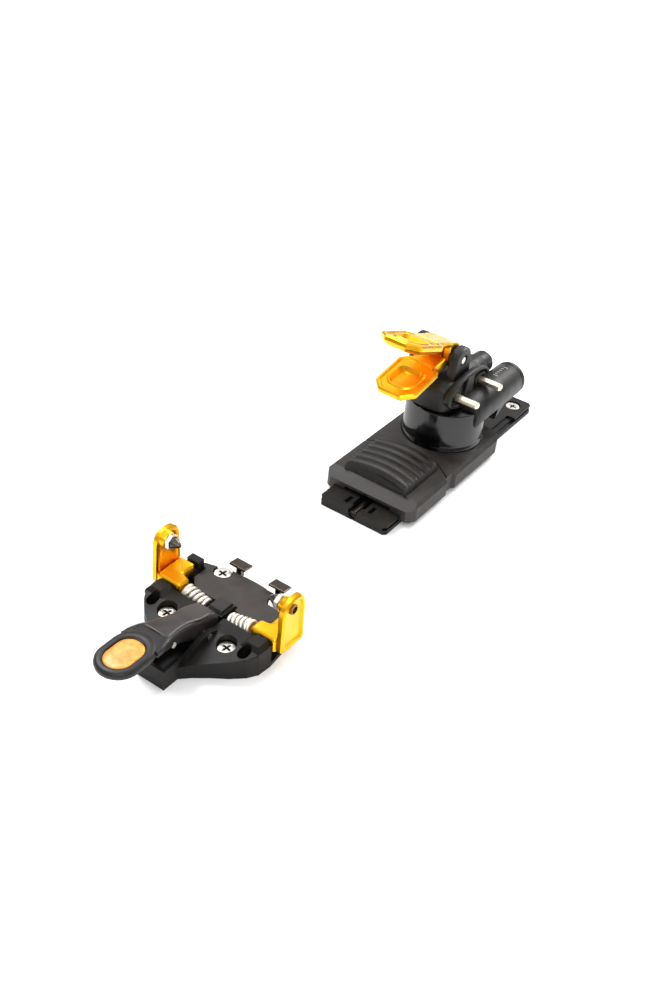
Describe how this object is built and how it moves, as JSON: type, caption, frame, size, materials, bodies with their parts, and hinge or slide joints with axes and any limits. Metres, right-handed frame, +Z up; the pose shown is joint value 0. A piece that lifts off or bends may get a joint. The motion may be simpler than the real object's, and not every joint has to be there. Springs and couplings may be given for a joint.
{
  "type": "touring binding",
  "caption": "Alpine touring pin binding: toe unit with spring-closed gold pin arms and front lever, and a turning heel unit on a sliding carriage with flip-over climbing lifters.",
  "frame": {"origin": "heel unit's turning axis, on the mounting plane that rests on the ski's top surface", "axes": "+X forward along the ski to its tip (heel unit to toe unit), +Y to the rider's left, +Z up from the ski"},
  "size_m": [0.3829, 0.0876, 0.1007],
  "materials": {
    "moulding": "fine textured black glass-filled nylon",
    "gloss_drum": "polished black",
    "anodised_gold": "bright gold anodised, machined chamfers",
    "zinc_steel": "bright zinc plated",
    "dark_steel": "hardened, dark",
    "champagne_steel": "satin nickel",
    "amber_inlay": "translucent amber"
  },
  "bodies": {
    "base": {"toe_base": "moulding", "toe_cover": "moulding", "arm_axle_left": "zinc_steel", "arm_axle_right": "zinc_steel", "lever_pivot_pin": "zinc_steel", "crampon_hook_left": "zinc_steel", "crampon_hook_right": "zinc_steel", "toe_screw_front_left": "zinc_steel", "toe_screw_front_right": "zinc_steel", "toe_screw_rear_left": "zinc_steel", "toe_screw_rear_right": "zinc_steel", "heel_track": "moulding", "track_screw_1": "zinc_steel", "track_screw_2": "zinc_steel", "track_screw_3": "zinc_steel", "track_screw_4": "zinc_steel"},
    "lever": {"toe_lever": "moulding", "lever_plate": "moulding", "lever_inlay": "amber_inlay", "lever_lock_pin": "zinc_steel"},
    "centre_block": {"centre_block": "moulding"},
    "arm_left": {"arm_left": "anodised_gold", "toe_pin_left": "dark_steel", "pin_collar_left": "zinc_steel", "pin_nut_left": "zinc_steel"},
    "arm_right": {"arm_right": "anodised_gold", "toe_pin_right": "dark_steel", "pin_collar_right": "zinc_steel", "pin_nut_right": "zinc_steel"},
    "spring_left": {"arm_spring_left": "zinc_steel", "spring_rod_left": "zinc_steel"},
    "spring_right": {"arm_spring_right": "zinc_steel", "spring_rod_right": "zinc_steel"},
    "lead_screw": {"lead_screw": "zinc_steel"},
    "carriage": {"heel_carriage": "moulding", "heel_pad": "moulding", "turret_post": "zinc_steel"},
    "turret": {"turret_drum": "gloss_drum", "heel_housing": "moulding", "release_spring_lateral": "zinc_steel", "release_plunger_lateral": "zinc_steel", "release_spring_vertical": "zinc_steel", "release_plunger_vertical": "zinc_steel", "lifter_axle": "zinc_steel"},
    "pin_front": {"heel_pin_front": "champagne_steel"},
    "pin_rear": {"heel_pin_rear": "champagne_steel"},
    "cap_lateral": {"release_cap_lateral": "moulding"},
    "cap_vertical": {"release_cap_vertical": "moulding"},
    "lifter_lower": {"lifter_lower": "anodised_gold"},
    "lifter_upper": {"lifter_upper": "anodised_gold"}
  },
  "joints": [
    {"name": "lever_press", "type": "hinge", "parent": "base", "child": "lever", "pos_m": [0.2375, 0, 0.014], "axis": [0, 1, 0], "range_deg": [0, 16], "stiffness_Nm_per_rad": 1},
    {"name": "block_lift", "type": "slide", "parent": "base", "child": "centre_block", "axis": [0, 0, 1], "range_m": [0, 0.0056]},
    {"name": "arm_left_open", "type": "hinge", "parent": "base", "child": "arm_left", "pos_m": [0.2148, 0.032, 0.013], "axis": [-1, 0, 0], "range_deg": [0, 22.5]},
    {"name": "arm_right_open", "type": "hinge", "parent": "base", "child": "arm_right", "pos_m": [0.2148, -0.032, 0.013], "axis": [1, 0, 0], "range_deg": [0, 22.5]},
    {"name": "spring_left_tilt", "type": "hinge", "parent": "centre_block", "child": "spring_left", "pos_m": [0.218, 0.0072, 0.0092], "axis": [-1, 0, 0], "range_deg": [0, 7]},
    {"name": "spring_right_tilt", "type": "hinge", "parent": "centre_block", "child": "spring_right", "pos_m": [0.218, -0.0072, 0.0092], "axis": [1, 0, 0], "range_deg": [0, 7]},
    {"name": "carriage_slide", "type": "slide", "parent": "base", "child": "carriage", "axis": [1, 0, 0], "range_m": [-0.01, 0.01]},
    {"name": "lead_screw_turn", "type": "hinge", "parent": "base", "child": "lead_screw", "pos_m": [0.016, 0, 0.0032], "axis": [1, 0, 0], "range_deg": [-1805, 1805]},
    {"name": "heel_turn", "type": "hinge", "parent": "carriage", "child": "turret", "pos_m": [0, 0, 0.02], "axis": [0, 0, 1], "range_deg": [-180, 180]},
    {"name": "pin_front_spread", "type": "slide", "parent": "turret", "child": "pin_front", "axis": [1, 0, 0], "range_m": [0, 0.0025]},
    {"name": "pin_rear_spread", "type": "slide", "parent": "turret", "child": "pin_rear", "axis": [-1, 0, 0], "range_m": [0, 0.0025]},
    {"name": "lateral_adjust", "type": "hinge", "parent": "turret", "child": "cap_lateral", "pos_m": [-0.05, 0.016, 0.037], "axis": [1, 0, 0], "range_deg": [0, 720]},
    {"name": "vertical_adjust", "type": "hinge", "parent": "turret", "child": "cap_vertical", "pos_m": [-0.04, 0, 0.047], "axis": [1, 0, 0], "range_deg": [0, 720]},
    {"name": "lifter_lower_flip", "type": "hinge", "parent": "turret", "child": "lifter_lower", "pos_m": [0.003, -0.008, 0.0695], "axis": [0, -1, 0], "range_deg": [0, 140]},
    {"name": "lifter_upper_flip", "type": "hinge", "parent": "turret", "child": "lifter_upper", "pos_m": [0.003, -0.008, 0.0695], "axis": [0, -1, 0], "range_deg": [0, 140]}
  ],
  "couplings": [
    {"joint": "block_lift", "follows": "lever_press", "m_per_rad": 0.0193},
    {"joint": "arm_left_open", "follows": "lever_press", "ratio": 1.375},
    {"joint": "arm_right_open", "follows": "lever_press", "ratio": 1.375},
    {"joint": "spring_left_tilt", "follows": "lever_press", "ratio": 0.415},
    {"joint": "spring_right_tilt", "follows": "lever_press", "ratio": 0.415},
    {"joint": "lead_screw_turn", "follows": "carriage_slide", "rad_per_m": 3141.6},
    {"joint": "pin_rear_spread", "follows": "pin_front_spread", "ratio": 1},
    {"joint": "lifter_upper_flip", "follows": "lifter_lower_flip", "ratio": 1}
  ]
}
